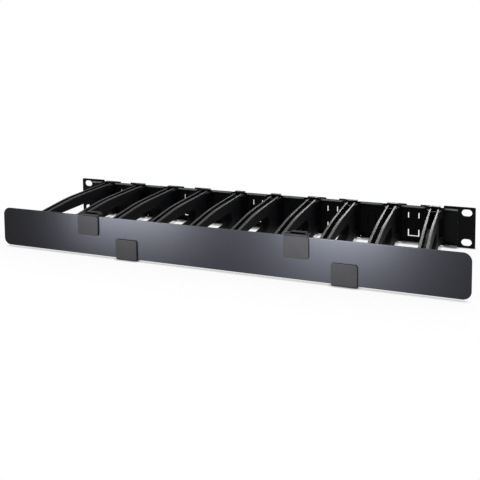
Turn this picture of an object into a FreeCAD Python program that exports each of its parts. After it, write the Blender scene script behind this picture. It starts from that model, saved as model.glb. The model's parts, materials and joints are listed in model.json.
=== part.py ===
import FreeCAD, Part
import math
import os

# Horizontal cable manager for a nineteen inch rack, one rack unit high, in millimetres.
# X runs along the rack from left to right, Y points into the rack, Z is up.
# The origin is the centre of the rack hole pattern on the back face of the ears.

# Rack interface
rack_width = 482.6
ear_height = 43.66
ear_reach = 17.8
ear_lap = 14.5
ear_corner_radius = 1.0
hole_edge_distance = 8.75
hole_end_distance = 5.955
slot_length = 10.5
slot_width = 7.4
sheet = 1.5

# Channel shaped panel that carries the fingers, between the two ears
channel_edge_drop = 1.63
lip_depth = 5.5
bend_inner_radius = 0.5
lip_notch_clearance = 0.3

# Row of fingers
finger_count = 10
finger_end_margin = 23.475
finger_width = 10.0
finger_wall = 1.8
finger_root_drop = 0.8
finger_knee_reach = 86.5
finger_knee_drop = 1.1
finger_front_height = 25.0
window_height = 15.5
window_back_reach = 42.0
window_front_gap = 9.5
window_front_radius = 4.0
rib_reach = 14.5
rib_thickness = 1.6
rib_setback = 1.2

# Foot of a finger
foot_width = 20.0
foot_thickness = 2.5
gusset_top_drop = 1.7
gusset_height = 9.0
gusset_half_width = 9.3
gusset_reach = 12.0
hook_width = 12.0
hook_thickness = 0.8
hook_drop = 4.0
hook_clearance = 0.05
hook_back_gap = 0.1
hook_extension = 9.0

# Head of a finger
head_gap = 16.0
head_thickness = 4.0
head_edge_radius = 1.2
hinge_inset_z = 7.3
hinge_setback = 7.5
knuckle_radius = 3.2
knuckle_width = 4.5
knuckle_end_wall = 0.45

# Hinge pins
pin_diameter = 2.5
knuckle_clearance = 0.08
clip_bore_clearance = 0.06
mouth_flare = 0.7
pin_end_gap = 0.25
pin_end_chamfer = 0.3

# Front cover, as long as the rack is wide and as high as the shelves of its clips leave it
cover_reach = 150.5
cover_corner_radius = 7.5

# Clips that carry the cover
clip_width = 24.0
clip_pad_height = 21.5
clip_pad_thickness = 2.0
clip_pad_corner_radius = 2.5
clip_pad_edge_radius = 0.7
clip_back_thickness = 2.0
clip_back_height = 17.0
clip_shelf_depth = 4.5
clip_shelf_thickness = 1.53
clip_boss_clearance = 0.5
clip_boss_overhang = 4.2
clip_boss_wall = 2.5
clip_boss_below = 4.0
clip_boss_roof = 2.0
clip_stud_diameter = 6.0
clip_stud_clearance = 0.1
clip_stud_drop = 8.0

# Bay of each top clip, counted from the left end and from the right end of the row
left_clip_bay_count = 2
right_clip_bay_count = 3

# Tie points pressed into the channel
tie_slit_width = 2.1
tie_span = 12.8
tie_upper_low = 5.4
tie_upper_high = 12.2
tie_lower_high = -5.4
tie_lower_low = -13.9
boss_rise = 0.8
boss_wall = 0.7
hexagon_half_width = 9.4
hexagon_flat_half_width = 6.4
hexagon_half_height = 5.0
lens_half_width = 3.9
lens_half_height = 11.0

# How far a cutting block runs past the faces that it cuts
cut_overshoot = 1.0

# Places worked out from the sizes above
hole_x = rack_width / 2 - hole_edge_distance
hole_z = ear_height / 2 - hole_end_distance
ear_front = -sheet
channel_length = rack_width - 2 * ear_reach
channel_back = ear_front
channel_front = channel_back - sheet
channel_top = ear_height / 2 - channel_edge_drop
finger_pitch = (channel_length - 2 * finger_end_margin) / (finger_count - 1)
finger_x = [finger_pitch * (index - (finger_count - 1) / 2) for index in range(finger_count)]
bay_x = [left + finger_pitch / 2 for left in finger_x[:-1]]
left_clip_x = bay_x[left_clip_bay_count - 1]
right_clip_x = bay_x[-right_clip_bay_count]
foot_front = channel_front - foot_thickness
gusset_high = channel_top - gusset_top_drop
root_top = channel_top - finger_root_drop
knee_top = root_top - finger_knee_drop
cover_front = -cover_reach
cover_back = cover_front + sheet
clip_top = ear_height / 2
cover_top = clip_top - clip_shelf_thickness
hinge_y = cover_back + hinge_setback
hinge_z = cover_top - hinge_inset_z
head_half_width = (finger_pitch - head_gap) / 2
head_back = hinge_y + head_thickness / 2
head_front = hinge_y - head_thickness / 2
window_back = -window_back_reach
window_front = head_back + window_front_gap
knuckle_inner = head_half_width - knuckle_width
stud_z = clip_top - clip_stud_drop
pin_radius = pin_diameter / 2
pin_half_length = finger_pitch / 2 - knuckle_inner - knuckle_end_wall - pin_end_gap


def box(x_low, x_high, y_low, y_high, z_low, z_high):
    """Block between two corners."""
    return Part.makeBox(
        x_high - x_low, y_high - y_low, z_high - z_low, FreeCAD.Vector(x_low, y_low, z_low)
    )


def rod(radius, x_low, x_high, y, z):
    """Round bar along X."""
    return Part.makeCylinder(
        radius, x_high - x_low, FreeCAD.Vector(x_low, y, z), FreeCAD.Vector(1, 0, 0)
    )


def prism_x(points, x_low, x_high):
    """Block whose side view is the given outline of (y, z) points."""
    corners = [FreeCAD.Vector(x_low, y, z) for y, z in points]
    face = Part.Face(Part.makePolygon(corners + corners[:1]))
    return face.extrude(FreeCAD.Vector(x_high - x_low, 0, 0))


def prism_y(points, y_low, y_high):
    """Block whose front view is the given outline of (x, z) points."""
    corners = [FreeCAD.Vector(x, y_low, z) for x, z in points]
    face = Part.Face(Part.makePolygon(corners + corners[:1]))
    return face.extrude(FreeCAD.Vector(0, y_high - y_low, 0))


def prism_z(points, z_low, z_high):
    """Block whose plan is the given outline of (x, y) points."""
    corners = [FreeCAD.Vector(x, y, z_low) for x, y in points]
    face = Part.Face(Part.makePolygon(corners + corners[:1]))
    return face.extrude(FreeCAD.Vector(0, 0, z_high - z_low))


def edges_along(shape, direction, test):
    """Straight edges of a shape along one direction that pass a test on their middle."""
    chosen = []
    for edge in shape.Edges:
        if edge.Curve.TypeId != "Part::GeomLine":
            continue
        along = edge.Vertexes[1].Point - edge.Vertexes[0].Point
        if abs(abs(along.normalize().dot(direction)) - 1) < 1e-6 and test(edge.CenterOfMass):
            chosen.append(edge)
    return chosen


def rounded_plate(length, height, y_low, y_high, radius):
    """Upright plate centred on X and Z with round corners."""
    plate = box(-length / 2, length / 2, y_low, y_high, -height / 2, height / 2)
    corners = edges_along(plate, FreeCAD.Vector(0, 1, 0), lambda middle: True)
    return plate.makeFillet(radius, corners)


def slot_cutter(x, z, length, width, y_low, y_high):
    """Slot with round ends that runs along X."""
    straight = (length - width) / 2
    cutter = box(x - straight, x + straight, y_low, y_high, z - width / 2, z + width / 2)
    for end in (-straight, straight):
        cutter = cutter.fuse(
            Part.makeCylinder(
                width / 2, y_high - y_low, FreeCAD.Vector(x + end, y_low, z), FreeCAD.Vector(0, 1, 0)
            )
        )
    return cutter


def turned_half_way(shape):
    """Copy of a shape turned half a turn about Y, so that top becomes bottom."""
    copy = shape.copy()
    copy.rotate(FreeCAD.Vector(0, 0, 0), FreeCAD.Vector(0, 1, 0), 180)
    return copy


def mirrored_z(shape):
    """Mirror image of a shape above and below the middle plane."""
    return shape.mirror(FreeCAD.Vector(0, 0, 0), FreeCAD.Vector(0, 0, 1))


def mirrored_x(shape):
    """Mirror image of a shape left and right of the middle plane."""
    return shape.mirror(FreeCAD.Vector(0, 0, 0), FreeCAD.Vector(1, 0, 0))


def ear_plate(side):
    """Flat rack ear, welded behind one end of the channel."""
    outer = rack_width / 2
    inner = channel_length / 2 - ear_lap
    plate = box(inner, outer, ear_front, 0, -ear_height / 2, ear_height / 2)
    corners = edges_along(plate, FreeCAD.Vector(0, 1, 0), lambda middle: True)
    plate = plate.makeFillet(ear_corner_radius, corners)
    through = (ear_front - cut_overshoot, cut_overshoot)
    for z in (-hole_z, hole_z):
        plate = plate.cut(slot_cutter(hole_x, z, slot_length, slot_width, *through))
    return plate if side > 0 else mirrored_x(plate)


def channel_profile():
    """Side view of the folded channel: a web with a lip at the top and at the bottom."""
    inner = bend_inner_radius
    outer = inner + sheet
    lip_front = channel_back - lip_depth
    top = channel_top
    diagonal = math.sqrt(0.5)

    def arc(centre_y, centre_z, radius, start, end):
        sweep_middle = FreeCAD.Vector(
            0,
            centre_y + radius * (start[0] + end[0]) * diagonal,
            centre_z + radius * (start[1] + end[1]) * diagonal,
        )
        first = FreeCAD.Vector(0, centre_y + radius * start[0], centre_z + radius * start[1])
        last = FreeCAD.Vector(0, centre_y + radius * end[0], centre_z + radius * end[1])
        return Part.Arc(first, sweep_middle, last).toShape()

    bend_y = channel_back - outer
    bend_z = top - outer
    pieces = [
        arc(bend_y, bend_z, outer, (1, 0), (0, 1)),
        arc(bend_y, bend_z, inner, (1, 0), (0, 1)),
        arc(bend_y, -bend_z, outer, (1, 0), (0, -1)),
        arc(bend_y, -bend_z, inner, (1, 0), (0, -1)),
    ]
    straights = [
        ((channel_back, -bend_z), (channel_back, bend_z)),
        ((bend_y, top), (lip_front, top)),
        ((lip_front, top), (lip_front, top - sheet)),
        ((lip_front, top - sheet), (bend_y, top - sheet)),
        ((channel_front, bend_z), (channel_front, -bend_z)),
        ((bend_y, -top + sheet), (lip_front, -top + sheet)),
        ((lip_front, -top + sheet), (lip_front, -top)),
        ((lip_front, -top), (bend_y, -top)),
    ]
    for start, end in straights:
        pieces.append(Part.makeLine(FreeCAD.Vector(0, *start), FreeCAD.Vector(0, *end)))
    return Part.Face(Part.Wire(Part.__sortEdges__(pieces)))


def hexagon_points(x, margin):
    """Outline of the six sided boss, shrunk by a margin."""
    wide = hexagon_half_width - margin
    flat = hexagon_flat_half_width - margin
    high = hexagon_half_height - margin
    return [
        (x - wide, 0),
        (x - flat, -high),
        (x + flat, -high),
        (x + wide, 0),
        (x + flat, high),
        (x - flat, high),
    ]


def lens_solid(x, margin, y_low, y_high):
    """Upright lens with two curved sides, shrunk by a margin."""
    wide = lens_half_width - margin
    high = lens_half_height - margin
    tip_up = FreeCAD.Vector(x, y_low, high)
    tip_down = FreeCAD.Vector(x, y_low, -high)
    right = Part.Arc(tip_down, FreeCAD.Vector(x + wide, y_low, 0), tip_up).toShape()
    left = Part.Arc(tip_up, FreeCAD.Vector(x - wide, y_low, 0), tip_down).toShape()
    return Part.Face(Part.Wire([right, left])).extrude(FreeCAD.Vector(0, y_high - y_low, 0))


def tie_slits(x):
    """Two upright slits above the boss and a U shaped slit below it."""
    half = tie_span / 2
    through = (channel_front - cut_overshoot, channel_back + cut_overshoot)
    cutters = []
    for low, high in ((tie_upper_low, tie_upper_high), (tie_lower_low, tie_lower_high)):
        cutters.append(box(x - half, x - half + tie_slit_width, *through, low, high))
        cutters.append(box(x + half - tie_slit_width, x + half, *through, low, high))
    cutters.append(box(x - half, x + half, *through, tie_lower_low, tie_lower_low + tie_slit_width))
    return cutters


def pressed(shape, raised, hollow):
    """Shape with a boss pressed forward: a raised front and a hollow behind it."""
    return shape.fuse(raised).cut(hollow)


def channel():
    """Folded channel with notches for the fingers and pressed tie points."""
    half = channel_length / 2
    solid = channel_profile().extrude(FreeCAD.Vector(channel_length, 0, 0))
    solid.translate(FreeCAD.Vector(-half, 0, 0))
    notch = foot_width / 2 + lip_notch_clearance
    notch_low = channel_top - sheet - bend_inner_radius
    notch_high = channel_top + cut_overshoot
    notch_front = channel_back - lip_depth - cut_overshoot
    for x in finger_x:
        upper = box(x - notch, x + notch, notch_front, channel_front, notch_low, notch_high)
        solid = solid.cut(upper).cut(mirrored_z(upper))
    front = channel_front - boss_rise
    hollow_front = channel_back - boss_rise
    hollow_back = channel_back + cut_overshoot
    for index, x in enumerate(bay_x):
        if index % 2 == 0:
            raised = prism_y(hexagon_points(x, 0), front, channel_front)
            hollow = prism_y(hexagon_points(x, boss_wall), hollow_front, hollow_back)
            solid = pressed(solid, raised, hollow)
            for cutter in tie_slits(x):
                solid = solid.cut(cutter)
        else:
            raised = lens_solid(x, 0, front, channel_front)
            hollow = lens_solid(x, boss_wall, hollow_front, hollow_back)
            solid = pressed(solid, raised, hollow)
    return solid.removeSplitter()


def finger_outline(reach_front):
    """Side view of a finger: deep at the foot, tapered from the knee to the head."""
    tip = finger_front_height / 2
    return [
        (channel_front, -root_top),
        (-finger_knee_reach, -knee_top),
        (reach_front, -tip),
        (reach_front, tip),
        (-finger_knee_reach, knee_top),
        (channel_front, root_top),
    ]


def window_solid(margin, x_low, x_high):
    """Space of the window, grown by a margin, with a round back end."""
    half = window_height / 2 + margin
    back = window_back + margin - half
    front = window_front - margin
    body = box(x_low, x_high, front, back, -half, half)
    middle_y = (front + back) / 2
    front_edges = edges_along(body, FreeCAD.Vector(1, 0, 0), lambda middle: middle.y < middle_y)
    body = body.makeFillet(window_front_radius + margin, front_edges)
    return body.fuse(rod(half, x_low, x_high, back, 0))


def finger_walls():
    """Two side walls joined by the rim of the window and one cross rib."""
    half = finger_width / 2
    inside = half - finger_wall
    outline = finger_outline(head_front)
    blank = prism_x(outline, -half, half)
    rim = window_solid(finger_wall, -half, half).common(blank)
    walls = blank.cut(box(-inside, inside, cover_front, channel_front, -ear_height, ear_height))
    rib_half = root_top - rib_setback
    rib = box(-half, half, -rib_reach - rib_thickness, -rib_reach, -rib_half, rib_half)
    opening = window_solid(0, -half - cut_overshoot, half + cut_overshoot)
    return walls.fuse([rim, rib]).cut(opening)


def gusset():
    """Wedge that spreads one side of a finger onto its foot."""
    inside = finger_width / 2 - finger_wall / 2
    plan = [
        (inside, foot_front - gusset_reach),
        (finger_width / 2, foot_front - gusset_reach),
        (gusset_half_width, foot_front + foot_thickness / 2),
        (inside, foot_front + foot_thickness / 2),
    ]
    return prism_z(plan, gusset_high - gusset_height, gusset_high)


def foot_hook(extend_side):
    """Hook over the edge of the channel, longer behind it on the side of the next finger."""
    half = hook_width / 2
    inner = channel_top + hook_clearance
    outer = inner + hook_thickness
    nose_front = channel_back + hook_back_gap
    nose_back = -hook_back_gap
    bridge = box(-half, half, foot_front, nose_back, inner, outer)
    post = box(-half, half, foot_front, channel_front, channel_top - hook_drop, outer)
    left = -half - (hook_extension if extend_side < 0 else 0)
    right = half + (hook_extension if extend_side > 0 else 0)
    nose = box(left, right, nose_front, nose_back, channel_top - hook_drop, outer)
    return bridge.fuse([post, nose])


def head():
    """I shaped head: two cross bars with open hinge knuckles, joined by an upright strap."""
    strap_half = finger_width / 2
    bar_low = hinge_z - knuckle_radius
    bar_high = hinge_z + knuckle_radius
    strap = box(-strap_half, strap_half, head_front, head_back, -bar_high, bar_high)
    bar = box(-head_half_width, head_half_width, head_front, head_back, bar_low, bar_high)
    ends = edges_along(bar, FreeCAD.Vector(0, 1, 0), lambda middle: True)
    bar = bar.makeFillet(head_edge_radius, ends)
    knuckle = rod(knuckle_radius, knuckle_inner, head_half_width, hinge_y, hinge_z)
    slot = knuckle_slot(knuckle_inner + knuckle_end_wall, head_half_width + cut_overshoot)
    solid = bar.fuse([knuckle, mirrored_x(knuckle)]).cut(slot).cut(mirrored_x(slot))
    return strap.fuse([solid, mirrored_z(solid)])


def knuckle_slot(x_low, x_high):
    """Seat for a pin with a mouth that widens towards the front."""
    seat = pin_radius + knuckle_clearance
    mouth_y = hinge_y - knuckle_radius - cut_overshoot
    mouth_half = seat + mouth_flare
    mouth = [
        (hinge_y, hinge_z - seat),
        (mouth_y, hinge_z - mouth_half),
        (mouth_y, hinge_z + mouth_half),
        (hinge_y, hinge_z + seat),
    ]
    return rod(seat, x_low, x_high, hinge_y, hinge_z).fuse(prism_x(mouth, x_low, x_high))


def finger(x, extend_side):
    """One moulded finger at its place on the channel."""
    foot_half = foot_width / 2
    foot_top = channel_top - hook_clearance
    foot = box(-foot_half, foot_half, foot_front, channel_front, -foot_top, foot_top)
    side = gusset()
    hook = foot_hook(extend_side)
    parts = [foot, side, mirrored_x(side), mirrored_z(side), mirrored_z(mirrored_x(side))]
    parts += [hook, mirrored_z(hook), head()]
    solid = finger_walls().fuse(parts).removeSplitter()
    solid.translate(FreeCAD.Vector(x, 0, 0))
    return solid


def cover():
    """Flat front cover with a hole for the stud of each clip."""
    plate = rounded_plate(rack_width, 2 * cover_top, cover_front, cover_back, cover_corner_radius)
    radius = clip_stud_diameter / 2 + clip_stud_clearance
    for x in (left_clip_x, right_clip_x):
        hole = Part.makeCylinder(
            radius,
            sheet + 2 * cut_overshoot,
            FreeCAD.Vector(x, cover_front - cut_overshoot, stud_z),
            FreeCAD.Vector(0, 1, 0),
        )
        plate = plate.cut(hole).cut(turned_half_way(hole))
    return plate


def clip_pad():
    """Rounded pad on the face of the cover."""
    half = clip_width / 2
    low = clip_top - clip_pad_height
    pad_front = cover_front - clip_pad_thickness
    pad = box(-half, half, pad_front, cover_front, low, clip_top)
    corners = edges_along(pad, FreeCAD.Vector(0, 1, 0), lambda middle: True)
    pad = pad.makeFillet(clip_pad_corner_radius, corners)
    rim = [edge for edge in pad.Edges if edge.BoundBox.YMax < (pad_front + cover_front) / 2]
    return pad.makeFillet(clip_pad_edge_radius, rim)


def clip_boss():
    """Hollow boss between two finger heads, with two cheeks that hold the hinge pin."""
    half = head_gap / 2 - clip_boss_clearance
    back = hinge_y + clip_boss_overhang
    front = cover_back
    low = hinge_z - clip_boss_below
    outline = [(front, low), (hinge_y, low), (back, hinge_z), (back, clip_top), (front, clip_top)]
    blank = prism_x(outline, -half, half)
    inside = half - clip_boss_wall
    hollow_top = clip_top - clip_boss_roof
    hollow_front = front + clip_back_thickness
    hollow_back = back + cut_overshoot
    hollow = box(-inside, inside, hollow_front, hollow_back, low - cut_overshoot, hollow_top)
    return blank.cut(hollow)


def clip(x):
    """Top clip: pad, shelf over the edge of the cover, back plate, stud and hinge boss."""
    half = clip_width / 2
    pad_middle = cover_front - clip_pad_thickness / 2
    back_face = cover_back + clip_back_thickness
    wrap_half = half - clip_pad_corner_radius
    wrap = box(-wrap_half, wrap_half, pad_middle, back_face, cover_top, clip_top)
    shelf = box(-half, half, cover_front, back_face + clip_shelf_depth, cover_top, clip_top)
    back = box(-half, half, cover_back, back_face, clip_top - clip_back_height, clip_top)
    stud = Part.makeCylinder(
        clip_stud_diameter / 2,
        sheet,
        FreeCAD.Vector(0, cover_front, stud_z),
        FreeCAD.Vector(0, 1, 0),
    )
    bore = rod(pin_radius + clip_bore_clearance, -half, half, hinge_y, hinge_z)
    solid = clip_pad().fuse([wrap, shelf, back, stud, clip_boss()]).cut(bore).removeSplitter()
    solid.translate(FreeCAD.Vector(x, 0, 0))
    return solid


def pin(x):
    """Steel hinge pin of a top clip, with chamfered ends."""
    solid = rod(pin_radius, x - pin_half_length, x + pin_half_length, hinge_y, hinge_z)
    rims = [edge for edge in solid.Edges if edge.Curve.TypeId == "Part::GeomCircle"]
    return solid.makeChamfer(pin_end_chamfer, rims)


def extension_side(index):
    """Side on which the hook of a finger is longer: towards its partner, none in the middle pair."""
    middle = finger_count // 2
    if index in (middle - 1, middle):
        return 0
    return 1 if index % 2 == 0 else -1


def build_nodes():
    """All pieces of the cable manager by name."""
    nodes = {"back_channel": channel(), "ear_left": ear_plate(-1), "ear_right": ear_plate(1)}
    for index, x in enumerate(finger_x):
        nodes["finger_%02d" % (index + 1)] = finger(x, extension_side(index))
    nodes["front_cover"] = cover()
    nodes["cover_clip_top_left"] = clip(left_clip_x)
    nodes["cover_clip_top_right"] = clip(right_clip_x)
    nodes["cover_clip_bottom_left"] = turned_half_way(clip(right_clip_x))
    nodes["cover_clip_bottom_right"] = turned_half_way(clip(left_clip_x))
    nodes["hinge_pin_top_left"] = pin(left_clip_x)
    nodes["hinge_pin_top_right"] = pin(right_clip_x)
    nodes["hinge_pin_bottom_left"] = turned_half_way(pin(right_clip_x))
    nodes["hinge_pin_bottom_right"] = turned_half_way(pin(left_clip_x))
    return nodes


os.makedirs("parts", exist_ok=True)
for name, shape in build_nodes().items():
    shape.exportStep("parts/%s.step" % name)
    print(name, "solids", len(shape.Solids), "valid", shape.isValid(), "volume %.1f" % shape.Volume)
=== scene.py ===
"""Looks of a horizontal cable manager, one rack unit high, dressed over its packed construction.

The pieces are surfaces worked out on grids with numpy, in metres, in the frame of the construction:
X runs along the rack, Y points into it and Z is up. Sizes without a unit in their name or
description are in millimetres.
"""

import json
import logging
import math
from dataclasses import dataclass, field
from enum import Enum

import bmesh
import bpy
import numpy as np
from mathutils import Matrix, Vector

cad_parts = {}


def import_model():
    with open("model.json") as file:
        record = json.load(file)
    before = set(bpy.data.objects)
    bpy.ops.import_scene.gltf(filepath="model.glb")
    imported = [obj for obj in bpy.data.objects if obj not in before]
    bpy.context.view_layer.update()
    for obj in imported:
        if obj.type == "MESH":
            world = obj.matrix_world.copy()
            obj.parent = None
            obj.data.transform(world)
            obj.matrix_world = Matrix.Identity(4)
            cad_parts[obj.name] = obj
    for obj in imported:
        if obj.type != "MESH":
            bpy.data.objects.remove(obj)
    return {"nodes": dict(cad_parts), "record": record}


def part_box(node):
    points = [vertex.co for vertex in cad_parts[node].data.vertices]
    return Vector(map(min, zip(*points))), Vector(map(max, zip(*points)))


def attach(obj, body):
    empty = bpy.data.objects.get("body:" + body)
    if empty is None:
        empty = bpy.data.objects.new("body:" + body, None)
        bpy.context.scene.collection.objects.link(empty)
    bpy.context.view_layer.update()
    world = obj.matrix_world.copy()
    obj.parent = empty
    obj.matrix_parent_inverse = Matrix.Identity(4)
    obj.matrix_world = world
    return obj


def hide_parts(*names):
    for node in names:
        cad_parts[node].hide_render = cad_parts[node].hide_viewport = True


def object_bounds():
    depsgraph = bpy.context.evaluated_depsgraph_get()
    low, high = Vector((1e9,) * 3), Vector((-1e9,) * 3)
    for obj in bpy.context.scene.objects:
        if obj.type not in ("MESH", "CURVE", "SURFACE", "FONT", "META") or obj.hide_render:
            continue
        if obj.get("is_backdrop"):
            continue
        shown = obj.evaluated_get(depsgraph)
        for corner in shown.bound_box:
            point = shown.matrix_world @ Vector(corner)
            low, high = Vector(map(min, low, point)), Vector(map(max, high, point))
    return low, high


logging.basicConfig(level=logging.INFO, format="%(message)s")
log = logging.getLogger("cable_manager")

MM = 0.001
MERGE_MM = 0.002
# A face's support ring lies this many rim radii inside its edge.
EDGE_KEEP = 1.6
# A hidden end stops this far inside the shell that it joins, in millimetres.
INSET = 0.06
# Rings of a face that closes on its middle point, as shares of the way out to its edge.
DOME_RINGS = (0.0, 0.35, 0.7)
# Grid lines nearer to each other than this count as one, in millimetres.
NEAREST_LINES = 0.05
FINGERS = 10

Pair = tuple[float, float]
Point = tuple[float, float, float]
Piece = bpy.types.Object
Material = bpy.types.Material
Tree = bpy.types.NodeTree
Node = bpy.types.Node


class Axis(Enum):
    """The axis of a plate's thickness, as the order of its outline's two axes and of that one."""

    Y = (0, 2, 1)
    Z = (0, 1, 2)


class Side(Enum):
    """Upper or lower half of the cable manager."""

    TOP = 1
    BOTTOM = -1


def linear(colour: str) -> tuple[float, float, float, float]:
    """Turns an sRGB hex colour into linear values.

    Args:
        colour: the colour as "#rrggbb".

    Returns:
        Linear red, green, blue and an alpha of one.
    """
    parts = np.array([int(colour[i : i + 2], 16) for i in (1, 3, 5)]) / 255
    values = np.where(parts <= 0.04045, parts / 12.92, ((parts + 0.055) / 1.055) ** 2.4)
    return (*map(float, values), 1.0)


def add_node(
    tree: Tree, kind: str, settings: dict | None = None, links: dict | None = None
) -> Node:
    """Adds a node with its settings and its incoming links.

    Args:
        tree: the node tree.
        kind: the node's type, without its ShaderNode prefix.
        settings: values by property or input name, an input by its name or number.
        links: output sockets by the input name or number that they feed.

    Returns:
        The new node.
    """
    node = tree.nodes.new("ShaderNode" + kind)
    for name, value in (settings or {}).items():
        if isinstance(name, str) and hasattr(node, name):
            setattr(node, name, value)
        else:
            node.inputs[name].default_value = value
    for name, socket in (links or {}).items():
        tree.links.new(socket, node.inputs[name])
    return node


def material_tree(name: str) -> tuple[Material, Tree, Node]:
    """Makes an empty node material with its output.

    Args:
        name: the material's name.

    Returns:
        The material, its node tree and the output node.
    """
    material = bpy.data.materials.new(name)
    material.use_nodes = True
    material.node_tree.nodes.clear()
    return material, material.node_tree, add_node(material.node_tree, "OutputMaterial")


@dataclass(frozen=True)
class PlasticOrCoat:
    """A dark plastic or coat whose fine relief and tone vary over the surface."""

    name: str
    deep: str
    light: str
    roughness: float
    specular: float
    grain_mm: float
    grain_height_mm: float = 0.02
    cloud_mm: float = 22.0
    roughness_swing: float = 0.05
    metallic: float = 0.0
    anisotropy: float = 0.0
    stretch: Point = (1.0, 1.0, 1.0)

    def build(self) -> Material:
        """Makes the material: a tone between two colours by a broad noise, and a fine bump.

        Returns:
            The finished material.
        """
        material, tree, output = material_tree(self.name)
        place = add_node(tree, "TexCoord").outputs["Object"]
        drawn = add_node(tree, "Mapping", {"Scale": self.stretch}, {"Vector": place})
        cloud = add_node(
            tree, "TexNoise",
            {"Scale": 1 / (self.cloud_mm * MM), "Detail": 3.0, "Roughness": 0.55},
            {"Vector": place},
        )
        grain = add_node(
            tree, "TexNoise",
            {"Scale": 1 / (self.grain_mm * MM), "Detail": 2.0, "Roughness": 0.5},
            {"Vector": drawn.outputs["Vector"]},
        )
        tone = add_node(
            tree, "Mix", {"data_type": "RGBA", 6: linear(self.deep), 7: linear(self.light)},
            {0: cloud.outputs["Fac"]},
        )
        rough = add_node(
            tree, "MapRange",
            {3: self.roughness - self.roughness_swing, 4: self.roughness + self.roughness_swing},
            {0: grain.outputs["Fac"]},
        )
        bump = add_node(
            tree, "Bump", {"Strength": 1.0, "Distance": self.grain_height_mm * MM},
            {"Height": grain.outputs["Fac"]},
        )
        shader = add_node(
            tree, "BsdfPrincipled",
            {"Metallic": self.metallic, "Specular IOR Level": self.specular,
             "Anisotropic": self.anisotropy},
            {"Base Color": tone.outputs[2], "Roughness": rough.outputs[0],
             "Normal": bump.outputs["Normal"]},
        )
        if self.anisotropy:
            upright = add_node(tree, "Tangent", {"direction_type": "RADIAL", "axis": "X"})
            tree.links.new(upright.outputs["Tangent"], shader.inputs["Tangent"])
        tree.links.new(shader.outputs["BSDF"], output.inputs["Surface"])
        return material


# Polyester powder coat on folded steel: a fine orange peel, so its gloss is broad and soft.
POWDER_COAT = PlasticOrCoat(
    name="black_powder_coat", deep="#08090a", light="#0e0f10", roughness=0.64, specular=0.1,
    grain_mm=1.1, grain_height_mm=0.03, cloud_mm=38.0,
)

# A greyer, glossier coat on the sheet's cut edges: a painted highlight for the bright lines
# along the lips' edges.
EDGE_HIGHLIGHT = PlasticOrCoat(
    name="painted_highlight_on_cut_edge", deep="#85888b", light="#a0a3a6", roughness=0.35, specular=0.5,
    grain_mm=0.6, grain_height_mm=0.01, cloud_mm=9.0,
)

# Satin coat rolled along the sheet: its fine lengthwise grain spreads the gloss up and down.
SATIN_COAT = PlasticOrCoat(
    name="satin_coat_on_steel", deep="#060607", light="#080809", roughness=0.4,
    roughness_swing=0.02, specular=0.16, grain_mm=0.9, grain_height_mm=0.004, cloud_mm=60.0,
    anisotropy=0.33, stretch=(0.08, 1.0, 1.0),
)

# Glass filled nylon, injection moulded: dark, with a slight moulded sheen on its rails.
MOULDED_NYLON = PlasticOrCoat(
    name="moulded_black_nylon", deep="#090a0c", light="#0f1012", roughness=0.42, specular=0.17,
    grain_mm=1.6,
)

# The outer walls have a drawn mould face: even and matt, with little gloss at a low angle.
WALL_NYLON = PlasticOrCoat(
    name="matt_black_nylon", deep="#0e0f11", light="#151618", roughness=0.62, specular=0.05,
    grain_mm=1.6,
)

# A darker, duller copy of the nylon, painted shade: between the fingers' walls, on their foot
# plates and on the clip pads' side walls, where shade falls.
SHADE_NYLON = PlasticOrCoat(
    name="painted_shade_black_nylon", deep="#030304", light="#060607", roughness=0.6, specular=0.06,
    grain_mm=0.9, grain_height_mm=0.03,
)

# The clips are a greyer nylon with an eroded mould face, so they are matt.
TEXTURED_NYLON = PlasticOrCoat(
    name="textured_grey_nylon", deep="#11100e", light="#151412", roughness=0.5, specular=0.04,
    grain_mm=0.8, cloud_mm=12.0,
)

# Drawn steel wire, cut and tumbled: bright with fine lines along the pin.
DRAWN_STEEL = PlasticOrCoat(
    name="drawn_steel_pin", deep="#8f9296", light="#a9acb0", roughness=0.28,
    roughness_swing=0.06, specular=0.5, grain_mm=0.4, grain_height_mm=0.003, cloud_mm=3.0,
    metallic=1.0, stretch=(0.1, 1.0, 1.0),
)


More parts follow.
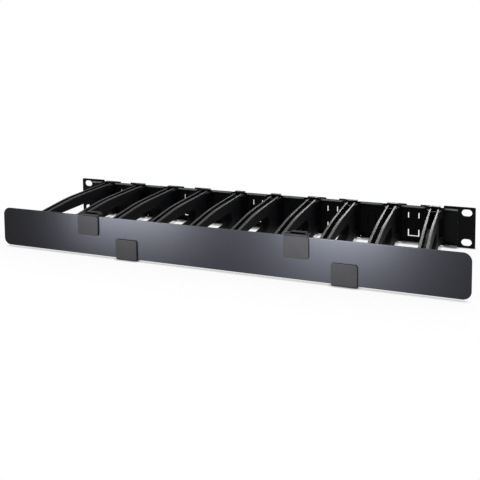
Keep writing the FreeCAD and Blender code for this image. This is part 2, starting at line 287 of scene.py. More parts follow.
@dataclass
class Patchwork:
    """Grids of points gathered into one mesh of closed shells."""

    points: list[np.ndarray] = field(default_factory=list)
    quads: list[np.ndarray] = field(default_factory=list)
    finishes: list[np.ndarray] = field(default_factory=list)
    starts: list[int] = field(default_factory=list)
    count: int = 0

    def add(
        self,
        grid: np.ndarray,
        wrap_rows: bool = False,
        wrap_columns: bool = True,
        keep: np.ndarray | None = None,
        finish: np.ndarray | int = 0,
        same_shell: bool = False,
    ) -> None:
        """Adds a grid: each cell between neighbouring rows and columns becomes a face.

        Args:
            grid: points in millimetres, of shape (rows, columns, 3).
            wrap_rows: joins the last row to the first.
            wrap_columns: joins the last column to the first.
            keep: which cells to keep, of shape (rows - 1, columns - 1).
            finish: number of the material of all cells, of each column or, upright, of each row.
            same_shell: closes the shell of the grid before it, instead of being one of its own.
        """
        rows, columns = grid.shape[:2]
        i = np.arange(rows if wrap_rows else rows - 1)[:, None]
        j = np.arange(columns if wrap_columns else columns - 1)[None, :]
        after_i, after_j = (i + 1) % rows, (j + 1) % columns
        here, after = i * columns, after_i * columns
        around = (here + j, after + j, after + after_j, here + after_j)
        quads = np.stack(np.broadcast_arrays(*around), axis=-1)
        finishes = np.broadcast_to(finish, quads.shape[:2]).ravel()
        quads = quads.reshape(-1, 4)
        if keep is not None:
            quads, finishes = quads[keep.ravel()], finishes[keep.ravel()]
        if not same_shell:
            self.starts.append(self.count)
        self.points.append(grid.reshape(-1, 3) * MM)
        self.quads.append(quads + self.count)
        self.finishes.append(finishes)
        self.count += rows * columns

    def mesh(self, name: str, sharp_deg: float = 32.0) -> Piece:
        """Makes the object, with each shell's doubles merged and its faces outwards.

        Args:
            name: the object's name.
            sharp_deg: edges that bend by more stay sharp.

        Returns:
            The new object, at the origin.
        """
        data = bpy.data.meshes.new(name)
        points, quads = np.concatenate(self.points), np.concatenate(self.quads)
        data.from_pydata(points.tolist(), [], quads.tolist())
        data.polygons.foreach_set("material_index", np.concatenate(self.finishes).astype(np.int32))
        form = bmesh.new()
        form.from_mesh(data)
        verts = list(form.verts)
        for start, stop in zip(self.starts, [*self.starts[1:], self.count]):
            bmesh.ops.remove_doubles(form, verts=verts[start:stop], dist=MERGE_MM * MM)
        bmesh.ops.recalc_face_normals(form, faces=form.faces)
        form.to_mesh(data)
        form.free()
        data.polygons.foreach_set("use_smooth", np.ones(len(data.polygons), bool))
        data.set_sharp_from_angle(angle=math.radians(sharp_deg))
        piece = bpy.data.objects.new(name, data)
        bpy.context.scene.collection.objects.link(piece)
        return piece


def rounded_rectangle(
    low: Pair, high: Pair, radius: float, steps: int = 6
) -> np.ndarray:
    """Outline of a rectangle with round corners.

    Each corner is a quarter circle: its centre plus the radius times (cos a, sin a), a running
    through that corner's quarter turn.

    Args:
        low: lowest corner.
        high: highest corner.
        radius: corner radius.
        steps: points on each corner, less one.

    Returns:
        Points of shape (4 * (steps + 1), 2), anticlockwise.
    """
    angle = np.linspace(0, 2 * math.pi, 4 * steps + 1)
    quarter = np.repeat(np.arange(4), steps + 1)
    angle = angle[np.arange(4 * (steps + 1)) - quarter]
    side_x = np.array([1, -1, -1, 1])[quarter]
    side_z = np.array([1, 1, -1, -1])[quarter]
    centre = np.add(low, high) / 2
    half = np.subtract(high, low) / 2 - radius
    x = centre[0] + side_x * half[0] + radius * np.cos(angle)
    z = centre[1] + side_z * half[1] + radius * np.sin(angle)
    return np.c_[x, z]


def outward(outline: np.ndarray) -> np.ndarray:
    """Mitre directions of an anticlockwise outline, outwards.

    Each is the sum of its two edges' normals over one plus their dot product, so that moving a
    point by a distance along it moves both edges by that distance.

    Args:
        outline: points of shape (n, 2).

    Returns:
        Directions of shape (n, 2).
    """
    edge = np.roll(outline, -1, axis=0) - outline
    edge /= np.maximum(np.linalg.norm(edge, axis=1, keepdims=True), 1e-9)
    normal = np.c_[edge[:, 1], -edge[:, 0]]
    before = np.roll(normal, 1, axis=0)
    dot = np.sum(before * normal, axis=1, keepdims=True)
    mitre_limit = 0.2
    return (before + normal) / np.maximum(1 + dot, mitre_limit)


def plate(
    outline: np.ndarray,
    low: float,
    high: float,
    radius: float,
    axis: Axis,
    crown: float = 0.0,
    steps: int = 3,
) -> np.ndarray:
    """Closed plate with round rims.

    The rings of the grid are the outline, drawn in by radius * (1 - cos a) and set in from each
    face by radius * (1 - sin a), a running through a quarter turn at each face. One more ring
    just inside each face's edge keeps the face flat up to it, and both faces close on their
    middle point, which may stand proud as a crown.

    Args:
        outline: anticlockwise points of shape (n, 2), convex.
        low: lower face along the plate's axis.
        high: upper face along the plate's axis.
        radius: radius of the rims.
        axis: the axis that the thickness runs along.
        crown: how far the middle of each face stands proud.
        steps: rings on each rim, less one.

    Returns:
        A grid of shape (rings, n, 3).
    """
    turn = np.linspace(math.pi / 2, 0, steps + 1)
    within = np.concatenate([[EDGE_KEEP], 1 - np.cos(turn)])
    below = np.concatenate([[0.0], 1 - np.sin(turn)])
    draw_in = radius * np.concatenate([within, within[::-1]])
    level = np.concatenate([low + radius * below, high - radius * below[::-1]])
    rings = outline[None] - outward(outline)[None] * draw_in[:, None, None]
    middle = outline.mean(axis=0)
    dome = np.array(DOME_RINGS)
    swell = crown * (1 - dome**2)
    start = middle + (rings[:1] - middle) * dome[:, None, None]
    close = middle + (rings[-1:] - middle) * dome[::-1, None, None]
    flat = np.concatenate([start, rings, close])
    levels = np.concatenate([low - swell, level, high + swell[::-1]])
    first, second, third = axis.value
    grid = np.empty((*flat.shape[:2], 3))
    grid[..., first], grid[..., second] = flat[..., 0], flat[..., 1]
    grid[..., third] = levels[:, None]
    return grid


def block(low: Point, high: Point, radius: float) -> np.ndarray:
    """Block with round upright edges and round rims, as a plate along Y.

    Args:
        low: lowest corner.
        high: highest corner.
        radius: radius of every edge.

    Returns:
        A closed grid.
    """
    outline = rounded_rectangle((low[0], low[2]), (high[0], high[2]), radius, steps=3)
    return plate(outline, low[1], high[1], radius, Axis.Y)


def smooth_step(value: np.ndarray) -> np.ndarray:
    """Eases from zero to one as three squares less two cubes of the clipped value."""
    clipped = np.clip(value, 0, 1)
    return clipped**2 * (3 - 2 * clipped)


def dress(piece: Piece, materials: list[Material], body: str, node: str) -> None:
    """Gives a piece its materials and body, and hides the construction node that it stands for.

    Args:
        piece: the new piece.
        materials: its finishes, in the order of the numbers on its faces.
        body: the body that it rides on.
        node: the node that it replaces.
    """
    for material in materials:
        piece.data.materials.append(material)
    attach(piece, body)
    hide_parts(node)
    log.info("%s: %d faces, stands for %s", piece.name, len(piece.data.polygons), node)


def corners(node: str) -> tuple[np.ndarray, np.ndarray]:
    """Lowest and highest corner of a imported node, in millimetres."""
    low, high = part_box(node)
    return np.array(low) / MM, np.array(high) / MM


class Reference:
    """Places that several pieces share, in millimetres."""

    def __init__(self) -> None:
        """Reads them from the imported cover, channel and top left hinge pin."""
        self.cover_low, self.cover_high = corners("front_cover")
        self.channel_low, self.channel_high = corners("back_channel")
        pin_low, pin_high = corners("hinge_pin_top_left")
        self.hinge = (pin_low + pin_high) / 2


@dataclass
class FrontCover:
    """Flat steel cover with round corners and a narrow rounded rim."""

    place: Reference
    corner_radius: float = 7.5
    corner_steps: int = 12
    rim_radius: float = 0.35

    def build(self) -> Piece:
        """Makes the cover as a plate with round rims.

        Returns:
            The cover.
        """
        low, high = self.place.cover_low, self.place.cover_high
        outline = rounded_rectangle(
            (low[0], low[2]), (high[0], high[2]), self.corner_radius, self.corner_steps
        )
        work = Patchwork()
        work.add(plate(outline, low[1], high[1], self.rim_radius, Axis.Y))
        return work.mesh("cover_sheet")


@dataclass
class CoverClip:
    """Moulded clip: pad on the face, shelf over the edge, back plate and hinge boss."""

    place: Reference
    node: str
    side: Side
    width: float = 24.0
    pad_height: float = 21.5
    pad_thickness: float = 2.0
    pad_corner: float = 2.5
    pad_rim: float = 0.45
    pad_step: float = 1.1
    pad_crown: float = 0.18
    shelf_depth: float = 4.5
    back_height: float = 17.0
    wall: float = 2.0
    boss_half_width: float = 7.5
    boss_overhang: float = 4.2
    boss_below: float = 4.0
    edge: float = 0.3
    rim_steps: int = 5
    face_rings: int = 7

    def build(self) -> Piece:
        """Makes a top clip and turns it half way round for a bottom one.

        Returns:
            The clip.
        """
        low, high = corners(self.node)
        x = (low[0] + high[0]) / 2 * self.side.value
        top = high[2] if self.side is Side.TOP else -low[2]
        cover_front, cover_back = self.place.cover_low[1], self.place.cover_high[1]
        cover_top = self.place.cover_high[2]
        half = self.width / 2
        back_face = cover_back + self.wall
        pad_front = cover_front - self.pad_thickness
        shelf_front = pad_front + self.pad_step
        shelf_back = back_face + self.shelf_depth
        boss_back = self.place.hinge[1] + self.boss_overhang
        boss_low = self.place.hinge[2] - self.boss_below
        boss = self.boss_half_width
        pad_outline = rounded_rectangle(
            (x - half, top - self.pad_height), (x + half, top - self.pad_step), self.pad_corner
        )
        pad = plate(
            pad_outline, pad_front, cover_front + self.edge, self.pad_rim, Axis.Y,
            self.pad_crown, self.rim_steps,
        )
        boxes = [
            ((x - half, shelf_front, cover_top), (x + half, shelf_back, top)),
            ((x - half, cover_back, top - self.back_height), (x + half, back_face, top)),
            ((x - boss, cover_back, top - self.wall), (x + boss, boss_back, top)),
        ]
        for inner in (-boss, boss - self.wall):
            boxes.append((
                (x + inner + INSET, cover_back + INSET, boss_low),
                (x + inner + self.wall - INSET, boss_back - INSET, top - INSET),
            ))
        turn = np.array([self.side.value, 1.0, self.side.value])
        # The pad's outer rim and side walls take the darker nylon: painted shade for the dark
        # outline round the pad.
        shaded_pad_walls = np.arange(len(pad) - 1)[:, None] >= self.face_rings
        work = Patchwork()
        work.add(pad * turn, finish=shaded_pad_walls)
        for low_corner, high_corner in boxes:
            work.add(block(low_corner, high_corner, self.edge) * turn)
        return work.mesh(self.node + "_moulding")


@dataclass
class Finger:
    """Moulded finger: a U section carried round its window, a foot, hooks, gussets and a head."""

    place: Reference
    node: str
    half_width: float = 5.0
    wall: float = 1.8
    rail_wall: float = 2.9
    inner_edge: float = 0.35
    outer_edge: float = 1.25
    knee_reach: float = 88.0
    knee_height: float = 20.0
    knee_softness: float = 0.7
    root_height: float = 19.6
    front_height: float = 14.6
    window_half: float = 7.75
    window_back: float = 42.0
    window_front: float = 130.0
    window_corner: float = 4.0
    foot_half: float = 10.0
    foot_thickness: float = 2.5
    foot_half_height: float = 20.15
    gusset_high: float = 18.5
    gusset_low: float = 9.5
    gusset_half: float = 9.3
    gusset_reach: float = 12.0
    gusset_wall: float = 0.9
    gusset_sink: float = 1.25
    gusset_edge: float = 0.25
    rib_reach: float = 14.5
    rib_thickness: float = 1.6
    rib_top: float = 18.2
    rib_gap: float = 0.5
    rail_depth: float = 3.0
    channel_sheet: float = 1.5
    hook_half: float = 6.0
    hook_drop: float = 4.0
    hook_gap: float = 0.1
    hook_edge: float = 0.2
    head_half: float = 14.225
    head_thickness: float = 4.0
    knuckle_radius: float = 3.2
    knuckle_width: float = 4.5
    knuckle_sink: float = 0.2
    slot_half: float = 1.33
    mouth_ease_rad: float = 0.15
    edge: float = 0.35
    front_steps: int = 6
    top_steps: int = 40
    back_steps: int = 8
    bead_steps: int = 5
    knuckle_steps: int = 32
    painted_shade_steps: float = 3.5
    wall_steps: float = 11.5

    def outer_height(self, reach: np.ndarray | float) -> np.ndarray | float:
        """Half height of the side view at a reach: the softened lower of two straight lines.

        It is minus s times the log of exp(-a/s) + exp(-b/s), where a is the line from the foot to
        the knee, b the line from the knee to the head and s the softness.

        Args:
            reach: distance in front of the origin plane.

        Returns:
            Half heights.
        """
        root, front = self.foot_start, self.front_reach
        back_slope = (self.knee_height - self.root_height) / (self.knee_reach - root)
        front_slope = (self.front_height - self.knee_height) / (front - self.knee_reach)
        back = self.knee_height + back_slope * (reach - self.knee_reach)
        fore = self.knee_height + front_slope * (reach - self.knee_reach)
        soft = self.knee_softness
        return -soft * np.logaddexp(-back / soft, -fore / soft)

    @property
    def foot_start(self) -> float:
        """Reach of the channel's front face."""
        return self.channel_sheet - self.place.channel_high[1]

    @property
    def front_reach(self) -> float:
        """Reach of the front of the head."""
        return -self.place.hinge[1] + self.head_thickness / 2

    def ring_paths(self) -> tuple[np.ndarray, np.ndarray]:
        """Matching points round the outer outline and round the window.

        The upper half runs from the front middle over the front corner, along the top edge to the
        foot and down to the back middle; the lower half is its mirror image. The window's corners
        are quarter circles in front and one half circle at the back.

        Returns:
            Outer and inner points, each of shape (n, 2), as reach and height.
        """
        rise = np.linspace(0, 1, self.front_steps, endpoint=False)
        run = np.linspace(0, 1, self.top_steps, endpoint=False)
        fall = np.linspace(0, 1, self.back_steps + 1)
        front, back = self.front_reach, self.foot_start
        reach = front + (back - front) * run
        outer = np.concatenate([
            np.c_[np.full_like(rise, front), self.outer_height(front) * rise],
            np.c_[reach, self.outer_height(reach)],
            np.c_[np.full_like(fall, back), self.outer_height(back) * (1 - fall)],
        ])
        corner_at = self.window_front - self.window_corner
        arc_at = self.window_back + self.window_half
        quarter = rise * math.pi / 2
        straight = corner_at + (arc_at - corner_at) * run
        half_turn = fall * math.pi / 2
        inner = np.concatenate([
            np.c_[
                corner_at + self.window_corner * np.cos(quarter),
                (self.window_half - self.window_corner) * smooth_step(rise * 2)
                + self.window_corner * np.sin(quarter),
            ],
            np.c_[straight, np.full_like(run, self.window_half)],
            np.c_[
                arc_at - self.window_half * np.sin(half_turn), self.window_half * np.cos(half_turn)
            ],
        ])
        flip = np.array([1.0, -1.0])
        return tuple(np.concatenate([half, half[-2:0:-1] * flip]) for half in (outer, inner))

    def ring(self) -> tuple[np.ndarray, np.ndarray]:
        """The U section carried round the window, as one closed ring.

        A point is the window's point plus its distance along the line to the outer outline, and
        the section's half width there. The distances run out along the outer face, over the rail
        with round edges, in along the inner face and across the rim of the window.

        Returns:
            A grid of shape (points round the ring, points round the section, 3), and for each
            step round the section its finish: the rails, between the walls in painted shade, or the
            outer walls.
        """
        outer, inner = self.ring_paths()
        span = outer - inner
        length = np.linalg.norm(span, axis=1)
        along = span / length[:, None]
        thick = smooth_step((outer[:, 0] - self.rib_reach) / self.knee_reach)
        thin = self.wall + (self.rail_wall - self.wall) * thick
        half, edge, bead = self.half_width, self.inner_edge, self.outer_edge
        turn = np.linspace(0, math.pi / 2, self.bead_steps + 1)
        rows = [
            (0.0, half - edge),
            (edge, half),
            (length * 0.5, half),
            (length - bead * EDGE_KEEP, half),
        ]
        rows += [
            (length - bead + bead * math.sin(a), half - bead + bead * math.cos(a)) for a in turn
        ]
        rows += [
            (length - edge + edge * math.cos(a), half - thin + edge - edge * math.sin(a))
            for a in turn[::2]
        ]
        rows += [
            (np.maximum(length - self.rail_depth, self.wall + edge), half - thin),
            (self.wall + edge, half - thin),
            (self.wall, half - thin - edge),
        ]
        distance = np.array([row[0] + 0 * length for row in rows])
        across = np.array([row[1] + 0 * length for row in rows])
        distance = np.concatenate([distance, distance[::-1]])
        across = np.concatenate([across, -across[::-1]])
        grid = np.empty((len(length), len(distance), 3))
        grid[..., 0] = across.T
        grid[..., 1] = -(inner[:, :1] + along[:, :1] * distance.T)
        grid[..., 2] = inner[:, 1:] + along[:, 1:] * distance.T
        # Steps round the middle of the section, between the walls, take the darker nylon: painted
        # shade in the groove.
        from_middle = np.abs(np.arange(len(distance)) + 1 - len(distance) / 2)
        inside = np.where(from_middle < self.painted_shade_steps, 1, 0)
        outside = np.where(from_middle > self.wall_steps, 2, 0)
        return grid, inside + outside

    def knuckle(self) -> np.ndarray:
        """Open hinge knuckle: a ring sector whose mouth faces forward.

        The outer radius runs through an angle that leaves the mouth open, and the inner radius
        runs back, both carried along X.

        Returns:
            Points of the sector's outline as reach and height about the hinge.
        """
        gap = math.asin(self.slot_half / self.knuckle_radius) + self.mouth_ease_rad
        angle = np.linspace(gap, 2 * math.pi - gap, self.knuckle_steps + 1)
        circle = np.c_[np.cos(angle), np.sin(angle)]
        return np.concatenate([self.knuckle_radius * circle, self.slot_half * circle[::-1]])

    def foot(self, work: Patchwork) -> None:
        """Adds the foot plate, the cross rib and the four gussets.

        A gusset is a plate along Z whose plan runs from a thin tip on the side wall out to the
        foot's side.

        Args:
            work: the patchwork that takes them.
        """
        web, wide, tall = -self.foot_start, self.foot_half, self.foot_half_height
        foot_front = web - self.foot_thickness
        sole = block((-wide, foot_front, -tall), (wide, web, tall), self.edge)
        # The foot plate takes the darker, duller nylon: painted shade that keeps it dark.
        work.add(sole, finish=1)
        half, back = self.half_width - self.rib_gap, -self.rib_reach
        rib_low = (-half, back - self.rib_thickness, -self.rib_top)
        rib_high = (half, back, self.rib_top)
        work.add(block(rib_low, rib_high, self.edge))
        inner, tip = self.half_width - self.gusset_wall, foot_front - self.gusset_reach
        root = foot_front + self.gusset_sink
        outer, side = self.half_width, self.gusset_half
        plan = np.array([(inner, tip), (outer, tip), (side, root), (inner, root)])
        low, high = self.gusset_low, self.gusset_high
        for shape in (plan, plan[::-1] * np.array([-1.0, 1.0])):
            for bottom, top in ((low, high), (-high, -low)):
                work.add(plate(shape, bottom, top, self.gusset_edge, Axis.Z))

    def hooks(self, work: Patchwork, x: float) -> None:
        """Adds the hooks over the channel's lips, each with its drop behind the web.

        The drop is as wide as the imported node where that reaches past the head, and otherwise
        as wide as the hook.

        Args:
            work: the patchwork that takes them.
            x: the finger's middle along X.
        """
        low, high = corners(self.node)
        foot_front = -self.foot_start - self.foot_thickness
        web_back, lip_top = self.place.channel_high[1:]
        hook_top = high[2]
        left, right = low[0] - x, high[0] - x
        past_head = self.head_half + self.hook_gap
        half = self.hook_half
        left = left if left < -past_head else -half
        right = right if right > past_head else half
        for sign in (1, -1):
            for box_low, box_high in (
                ((-half, foot_front, lip_top), (half, -self.hook_gap, hook_top)),
                (
                    (left + INSET, web_back + self.hook_gap, lip_top - self.hook_drop),
                    (right - INSET, -self.hook_gap - INSET, hook_top - INSET),
                ),
            ):
                z_low, z_high = sorted((sign * box_low[2], sign * box_high[2]))
                hook = block((*box_low[:2], z_low), (*box_high[:2], z_high), self.hook_edge)
                work.add(hook)

    def head(self, work: Patchwork) -> None:
        """Adds the two cross bars, their open knuckles and the strap between them.

        Args:
            work: the patchwork that takes them.
        """
        hinge_y, hinge_z = self.place.hinge[1:]
        front, back = hinge_y - self.head_thickness / 2, hinge_y + self.head_thickness / 2
        solid_half = self.head_half - self.knuckle_width
        reach = self.knuckle_radius
        top = hinge_z + reach
        strap = block((-self.half_width, front, -top), (self.half_width, back, top), self.edge)
        work.add(strap)
        section = self.knuckle()
        half = len(section) // 2
        for sign in (1, -1):
            low, high = sorted((sign * (hinge_z - reach), sign * top))
            bar = block((-solid_half, front, low), (solid_half, back, high), self.edge)
            work.add(bar)
            for side in (1, -1):
                x = np.array([solid_half - self.knuckle_sink, self.head_half]) * side
                ends = np.empty((2, len(section), 3))
                ends[..., 0] = x[:, None]
                ends[..., 1] = hinge_y - section[:, 0]
                ends[..., 2] = sign * hinge_z + section[:, 1]
                work.add(ends)
                for end in ends:
                    cap = np.stack([end[:half], end[half:][::-1]])
                    work.add(cap, wrap_columns=False, same_shell=True)

    def build(self) -> Piece:
        """Makes the finger at its place on the channel.

        Returns:
            The finger.
        """
        work = Patchwork()
        ring, finish = self.ring()
        work.add(ring, wrap_rows=True, finish=finish)
        x = self.middle_x()
        self.foot(work)
        self.hooks(work, x)
        self.head(work)
        for points in work.points:
            points[:, 0] += x * MM
        return work.mesh(self.node + "_moulding")

    def middle_x(self) -> float:
        """Middle of the finger along X: its share of the way from the first finger to the last.

        Returns:
            The position in millimetres.
        """
        number = int(self.node.split("_")[1]) - 1
        first = corners("finger_01")[0][0] + self.head_half
        last = corners(f"finger_{FINGERS}")[1][0] - self.head_half
        return float(first + (last - first) * number / (FINGERS - 1))


@dataclass
class Channel:
    """Folded sheet channel with notched lips, slits and pressed bosses."""

    place: Reference
    finger_x: list[float]
    sheet: float = 1.5
    bend: float = 2.0
    lip_depth: float = 5.5
    notch_half: float = 10.3
    boss_rise: float = 0.8
    hexagon_half: float = 9.4
    hexagon_flat: float = 6.4
    hexagon_height: float = 5.0
    lens_half: float = 3.9
    lens_height: float = 11.0
    slit: float = 1.1
    tie_reach: Pair = (-5.65, 6.4)
    upper_slits: Pair = (5.4, 12.2)
    lower_slits: Pair = (-13.9, -5.4)
    ramp: float = 0.9
    notch_low: float = 18.2
    boss_margin: float = 1.0
    boss_lines: int = 25
    web_reach: float = 12.0
    web_lines: int = 41
    lip_steps: int = 2
    bend_steps: int = 5

    @property
    def bays(self) -> list[float]:
        """Middles between neighbouring fingers along X."""
        return [(a + b) / 2 for a, b in zip(self.finger_x, self.finger_x[1:])]

    def profile(self, z_lines: np.ndarray) -> np.ndarray:
        """Back face of the folded section, from the lower lip's edge to the upper lip's edge.

        Args:
            z_lines: heights of the rows on the flat web.

        Returns:
            Points of shape (n, 2) as Y and Z.
        """
        back, top = self.place.channel_high[1:]
        bend = self.bend
        lip = np.linspace(back - self.lip_depth, back - bend, self.lip_steps, endpoint=False)
        turn = np.linspace(0, math.pi / 2, self.bend_steps + 1)
        arc_y, arc_z = back - bend + bend * np.cos(turn), top - bend + bend * np.sin(turn)
        web = np.c_[np.full_like(z_lines, back), z_lines]
        upper = np.concatenate([np.c_[arc_y, arc_z], np.c_[lip[::-1], np.full_like(lip, top)]])
        lower = upper[::-1] * np.array([1.0, -1.0])
        return np.concatenate([lower, web, upper])

    def relief(self, x: np.ndarray, z: np.ndarray) -> np.ndarray:
        """How far the web stands forward: hexagons in the odd bays, lenses in the even ones.

        Each boss rises over a ramp from its outline: the distance inside the outline over the
        ramp, eased. The hexagon's distance is the least of its sides' distances. The lens is
        where two circles meet, so its distance is the radius less the distance to the further
        centre.

        Args:
            x: positions along the channel.
            z: heights.

        Returns:
            The rise in millimetres.
        """
        rise = np.zeros(np.broadcast(x, z).shape)
        lens_radius = (self.lens_half**2 + self.lens_height**2) / (2 * self.lens_half)
        slope = np.array([self.hexagon_height, self.hexagon_half - self.hexagon_flat])
        slope = slope / np.linalg.norm(slope)
        for number, bay in enumerate(self.bays):
            dx, dz = np.abs(x - bay), np.abs(z)
            if number % 2 == 0:
                slanted = (self.hexagon_half - dx) * slope[0] - dz * slope[1]
                inside = np.minimum(self.hexagon_height - dz, slanted)
            else:
                inside = lens_radius - np.hypot(dx + lens_radius - self.lens_half, dz)
            rise = np.maximum(rise, self.boss_rise * smooth_step(inside / self.ramp + 0.5))
        return rise

    def lines(self) -> tuple[np.ndarray, np.ndarray]:
        """Grid lines: every slit and notch edge, with finer steps over the bosses.

        Returns:
            Sorted X lines and Z lines.
        """
        low, high = self.place.channel_low[0], self.place.channel_high[0]
        xs = [low, high]
        for finger in self.finger_x:
            xs += [finger - self.notch_half, finger + self.notch_half]
        for number, bay in enumerate(self.bays):
            half = self.hexagon_half if number % 2 == 0 else self.lens_half
            reach = half + self.boss_margin
            xs += list(bay + np.linspace(-reach, reach, self.boss_lines))
            if number % 2 == 0:
                left, right = self.tie_reach
                xs += [bay + left, bay + left + self.slit, bay + right - self.slit, bay + right]
        zs = [self.notch_low, -self.notch_low, *self.upper_slits, *self.lower_slits]
        zs += [self.lower_slits[0] + self.slit]
        zs += list(np.linspace(-self.web_reach, self.web_reach, self.web_lines))
        return tidy_lines(xs), tidy_lines(zs)

    def build(self) -> Piece:
        """Makes the channel from its back face, thickened forward by the sheet.

        Returns:
            The channel.
        """
        xs, zs = self.lines()
        section = self.profile(zs)
        grid = np.empty((len(section), len(xs), 3))
        grid[..., 0] = xs[None, :]
        grid[..., 1] = section[:, :1]
        grid[..., 2] = section[:, 1:]
        on_web = np.abs(section[:, 1]) < self.notch_low
        rise = self.relief(grid[..., 0], grid[..., 2])
        grid[..., 1] -= np.where(on_web[:, None], rise, 0)
        cell_x = ((xs[1:] + xs[:-1]) / 2)[None, :]
        cell_z = ((section[1:, 1] + section[:-1, 1]) / 2)[:, None]
        notch = np.zeros((len(section) - 1, len(xs) - 1), bool)
        for finger in self.finger_x:
            notch |= (np.abs(cell_x - finger) < self.notch_half) & (np.abs(cell_z) > self.notch_low)
        slits = np.zeros_like(notch)
        for bay in self.bays[::2]:
            dx = cell_x - bay
            left, right = self.tie_reach
            across = (dx > left) & (dx < right)
            upright = across & ((dx < left + self.slit) | (dx > right - self.slit))
            for low, high in (self.upper_slits, self.lower_slits):
                slits |= upright & (cell_z > low) & (cell_z < high)
            foot = (cell_z > self.lower_slits[0]) & (cell_z < self.lower_slits[0] + self.slit)
            slits |= across & foot
        work = Patchwork()
        work.add(grid, wrap_columns=False, keep=~(notch | slits))
        piece = work.mesh("channel_sheet")
        facing = sum(face.normal.y * face.area for face in piece.data.polygons)
        if facing < 0:
            piece.data.flip_normals()
        thicken = piece.modifiers.new("sheet thickness", "SOLIDIFY")
        thicken.thickness = self.sheet * MM
        thicken.offset = -1.0
        thicken.use_even_offset = True
        # The sheet's cut edges take the second material, a painted highlight.
        thicken.material_offset_rim = 1
        return piece


def tidy_lines(values: list[float]) -> np.ndarray:
    """Sorts grid lines and drops those that lie too near to the one before."""
    lines = np.sort(np.array(values))
    return lines[np.concatenate([[True], np.diff(lines) > NEAREST_LINES])]


def show_apart(tree: Tree, output: Node, lighting: Node, shown: Node) -> None:
    """Feeds an output one shader where it gives light and another where it is seen.

    It is seen by the camera, in a gloss and through a clear surface.

    Args:
        tree: the node tree.
        output: the output of a material or of the world.
        lighting: the shader that gives light.
        shown: the shader that is seen.
    """
    path = add_node(tree, "LightPath").outputs
    either = add_node(
        tree, "Math", {"operation": "MAXIMUM"},
        {0: path["Is Camera Ray"], 1: path["Is Glossy Ray"]},
    )
    seen = add_node(
        tree, "Math", {"operation": "MAXIMUM"},
        {0: either.outputs[0], 1: path["Is Transmission Ray"]},
    )
    mix = add_node(
        tree, "MixShader", None,
        {0: seen.outputs[0], 1: lighting.outputs[0], 2: shown.outputs[0]},
    )
    tree.links.new(mix.outputs[0], output.inputs["Surface"])


@dataclass(frozen=True)
class ShadePaper:
    """Floor finish that gives light as white paper does and is seen as a clear sheet with shade.

    The clear sheet lies over the white surround and keeps the object's shade: the share of open
    sky over a point within a few millimetres, times a fainter share within a few centimetres.
    What swings below the floor stays in sight.
    """

    name: str = "matt_white_paper"
    deep: str = "#dcdcdd"
    light: str = "#e2e2e2"
    fibre_mm: float = 2.5
    contact_mm: float = 4.0
    around_mm: float = 80.0
    around_share: float = 0.1
    samples: int = 8

    def build(self) -> Material:
        """Makes the material.

        Returns:
            The finished material.
        """
        material, tree, output = material_tree(self.name)
        place = add_node(tree, "TexCoord").outputs["Object"]
        scale = 1 / (self.fibre_mm * MM)
        fibre = add_node(tree, "TexNoise", {"Scale": scale, "Detail": 2.0}, {"Vector": place})
        tone = add_node(
            tree, "Mix", {"data_type": "RGBA", 6: linear(self.deep), 7: linear(self.light)},
            {0: fibre.outputs["Fac"]},
        )
        paper = add_node(tree, "BsdfDiffuse", None, {"Color": tone.outputs[2]})
        contact, around = (
            add_node(tree, "AmbientOcclusion", {"Distance": reach * MM, "samples": self.samples})
            for reach in (self.contact_mm, self.around_mm)
        )
        faint = add_node(
            tree, "Math",
            {"operation": "MULTIPLY_ADD", 1: self.around_share, 2: 1 - self.around_share},
            {0: around.outputs["AO"]},
        )
        shade = add_node(
            tree, "Math", {"operation": "MULTIPLY"},
            {0: contact.outputs["AO"], 1: faint.outputs[0]},
        )
        clear = add_node(tree, "BsdfTransparent", None, {"Color": shade.outputs[0]})
        show_apart(tree, output, paper, clear)
        return material


@dataclass(frozen=True)
class SoftLamp:
    """Soft rectangular lamp, placed and aimed in metres."""

    name: str
    at: Point
    aim: Point
    size: Pair
    watts: float
    colour: str = "#ffffff"
    spread_deg: float = 180.0

    def build(self, only: list[Piece] | None = None) -> None:
        """Adds the lamp, out of the camera's sight.

        Args:
            only: the pieces that it lights, or none for all.
        """
        data = bpy.data.lights.new(self.name, "AREA")
        data.shape = "RECTANGLE"
        data.size, data.size_y = self.size
        data.energy = self.watts
        data.spread = math.radians(self.spread_deg)
        data.color = linear(self.colour)[:3]
        lamp = bpy.data.objects.new(self.name, data)
        toward = Vector(self.aim) - Vector(self.at)
        turn = toward.to_track_quat("-Z", "Y").to_matrix().to_4x4()
        lamp.matrix_world = Matrix.Translation(self.at) @ turn
        lamp.visible_camera = False
        bpy.context.scene.collection.objects.link(lamp)
        if only:
            pieces = bpy.data.collections.new(self.name + "_pieces")
            for piece in only:
                pieces.objects.link(piece)
            lamp.light_linking.receiver_collection = pieces


OVERHEAD_SOFTBOX = SoftLamp(
    name="overhead_softbox", at=(0.0, 0.25, 1.1), aim=(0.0, -0.05, 0.0), size=(0.9, 0.4),
    watts=7.0,
)

# Two low panels give the cover its soft bands of gloss. A grid narrows the left one's light.
LEFT_PANEL = SoftLamp(
    name="left_panel", at=(-0.157, -0.296, 0.034), aim=(-0.1, -0.151, 0.034),
    size=(0.13, 0.098), watts=0.86, colour="#e7ebff", spread_deg=95.0,
)
RIGHT_PANEL = SoftLamp(
    name="right_panel", at=(0.096, -0.317, 0.074), aim=(0.096, 0.0, 0.074), size=(0.112, 0.172),
    watts=5.8, colour="#e7ebff",
)

# A far strip behind the object lines the fingers' rails with light.
RIM_STRIP = SoftLamp(
    name="rim_strip", at=(0.1, 1.6, 0.47), aim=(0.1, -0.05, 0.02), size=(0.8, 0.3), watts=8.0,
)


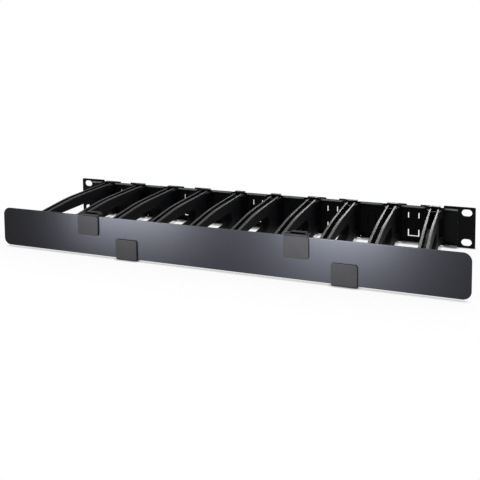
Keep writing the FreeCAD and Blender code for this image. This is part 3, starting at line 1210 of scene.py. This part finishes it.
@dataclass
class Studio:
    """Pale floor, even surround, soft lamps and the camera at the photograph's angle."""

    camera_at: Point = (251.33, -719.4, 201.0)
    yaw_deg: float = 20.282
    pitch_deg: float = -4.47
    roll_deg: float = -0.515
    focal_px: float = 658.32
    frame_px: float = 480.0
    centre_px: Pair = (246.0, 90.0)
    sensor_mm: float = 36.0
    clip_m: Pair = (0.01, 50.0)
    floor_radius_m: float = 4.0
    floor_sides: int = 96
    surround: str = "#f4f6fa"
    surround_strength: float = 0.45

    def camera(self) -> None:
        """Places the camera: its focal length and shift come from the photograph's pixels."""
        data = bpy.data.cameras.new("photograph_view")
        data.sensor_width = self.sensor_mm
        data.lens = self.focal_px / self.frame_px * self.sensor_mm
        data.shift_x = (self.frame_px / 2 - self.centre_px[0]) / self.frame_px
        data.shift_y = (self.centre_px[1] - self.frame_px / 2) / self.frame_px
        data.clip_start, data.clip_end = self.clip_m
        camera = bpy.data.objects.new("photograph_view", data)
        yaw, pitch = math.radians(self.yaw_deg), math.radians(self.pitch_deg)
        level = math.cos(pitch)
        ahead = Vector((-math.sin(yaw) * level, math.cos(yaw) * level, math.sin(pitch)))
        roll = Matrix.Rotation(math.radians(self.roll_deg), 3, "Z")
        turn = ahead.to_track_quat("-Z", "Y").to_matrix() @ roll
        camera.matrix_world = Matrix.Translation(Vector(self.camera_at) * MM) @ turn.to_4x4()
        bpy.context.scene.collection.objects.link(camera)
        bpy.context.scene.camera = camera

    def floor(self, level: float) -> None:
        """Lays a round floor: points on a circle, joined to its middle.

        Args:
            level: height of the floor in metres.
        """
        angle = np.linspace(0, 2 * math.pi, self.floor_sides, endpoint=False)
        circle = np.c_[np.cos(angle), np.sin(angle), 0 * angle]
        circle = circle * self.floor_radius_m / MM
        work = Patchwork()
        work.add(np.stack([circle * 0, circle]))
        floor = work.mesh("studio_floor")
        floor.data.transform(Matrix.Translation((0, 0, level)))
        if floor.data.polygons[0].normal.z < 0:
            floor.data.flip_normals()
        floor.data.materials.append(ShadePaper().build())
        floor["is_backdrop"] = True

    def world(self) -> None:
        """Surrounds the object with even light, and with white where the surround is seen."""
        world = bpy.data.worlds.new("studio_surround")
        world.use_nodes = True
        tree = world.node_tree
        tree.nodes.clear()
        output = add_node(tree, "OutputWorld")
        light, white = (
            add_node(tree, "Background", {"Color": linear(colour), "Strength": strength})
            for colour, strength in ((self.surround, self.surround_strength), ("#ffffff", 1.0))
        )
        show_apart(tree, output, light, white)
        bpy.context.scene.world = world

    def build(self, floor_level: float, front: list[Piece], fingers: list[Piece]) -> None:
        """Builds the camera, the floor, the surround and the lamps.

        Args:
            floor_level: height of the floor in metres.
            front: the pieces of the face, which the two panels light.
            fingers: the fingers, which the strip behind them lights.
        """
        self.camera()
        self.floor(floor_level)
        self.world()
        OVERHEAD_SOFTBOX.build()
        LEFT_PANEL.build(front)
        RIGHT_PANEL.build(front)
        RIM_STRIP.build(fingers)
        log.info("studio: camera, floor, surround and four lamps")


def main() -> None:
    """Loads the frame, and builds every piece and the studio."""
    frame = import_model()
    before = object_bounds()
    bodies = frame["record"]["behaviour"]["bodies"]
    body_of = {node: body for body, nodes in bodies.items() for node in nodes}
    place = Reference()
    coat, satin = POWDER_COAT.build(), SATIN_COAT.build()
    nylon, painted_shade_nylon, wall_nylon = MOULDED_NYLON.build(), SHADE_NYLON.build(), WALL_NYLON.build()
    grey_nylon, steel = TEXTURED_NYLON.build(), DRAWN_STEEL.build()
    for name, node in frame["nodes"].items():
        node.data.materials.clear()
        node.data.materials.append(steel if name.startswith("hinge_pin") else coat)
    fingers, finger_x = [], []
    for name in sorted(n for n in frame["nodes"] if n.startswith("finger_")):
        finger = Finger(place, name)
        finger_x.append(finger.middle_x())
        fingers.append(finger.build())
        dress(fingers[-1], [nylon, painted_shade_nylon, wall_nylon], body_of[name], name)
    name = "back_channel"
    channel = Channel(place, finger_x).build()
    dress(channel, [coat, EDGE_HIGHLIGHT.build()], body_of[name], name)
    name = "front_cover"
    front = [FrontCover(place).build()]
    dress(front[0], [satin], body_of[name], name)
    for name in sorted(n for n in frame["nodes"] if n.startswith("cover_clip")):
        side = Side.TOP if "_top_" in name else Side.BOTTOM
        front.append(CoverClip(place, name, side).build())
        dress(front[-1], [grey_nylon, painted_shade_nylon], body_of[name], name)
    Studio().build(before[0].z, front, fingers)
    bpy.context.scene.view_settings.view_transform = "Standard"


if __name__ == "__main__":
    main()
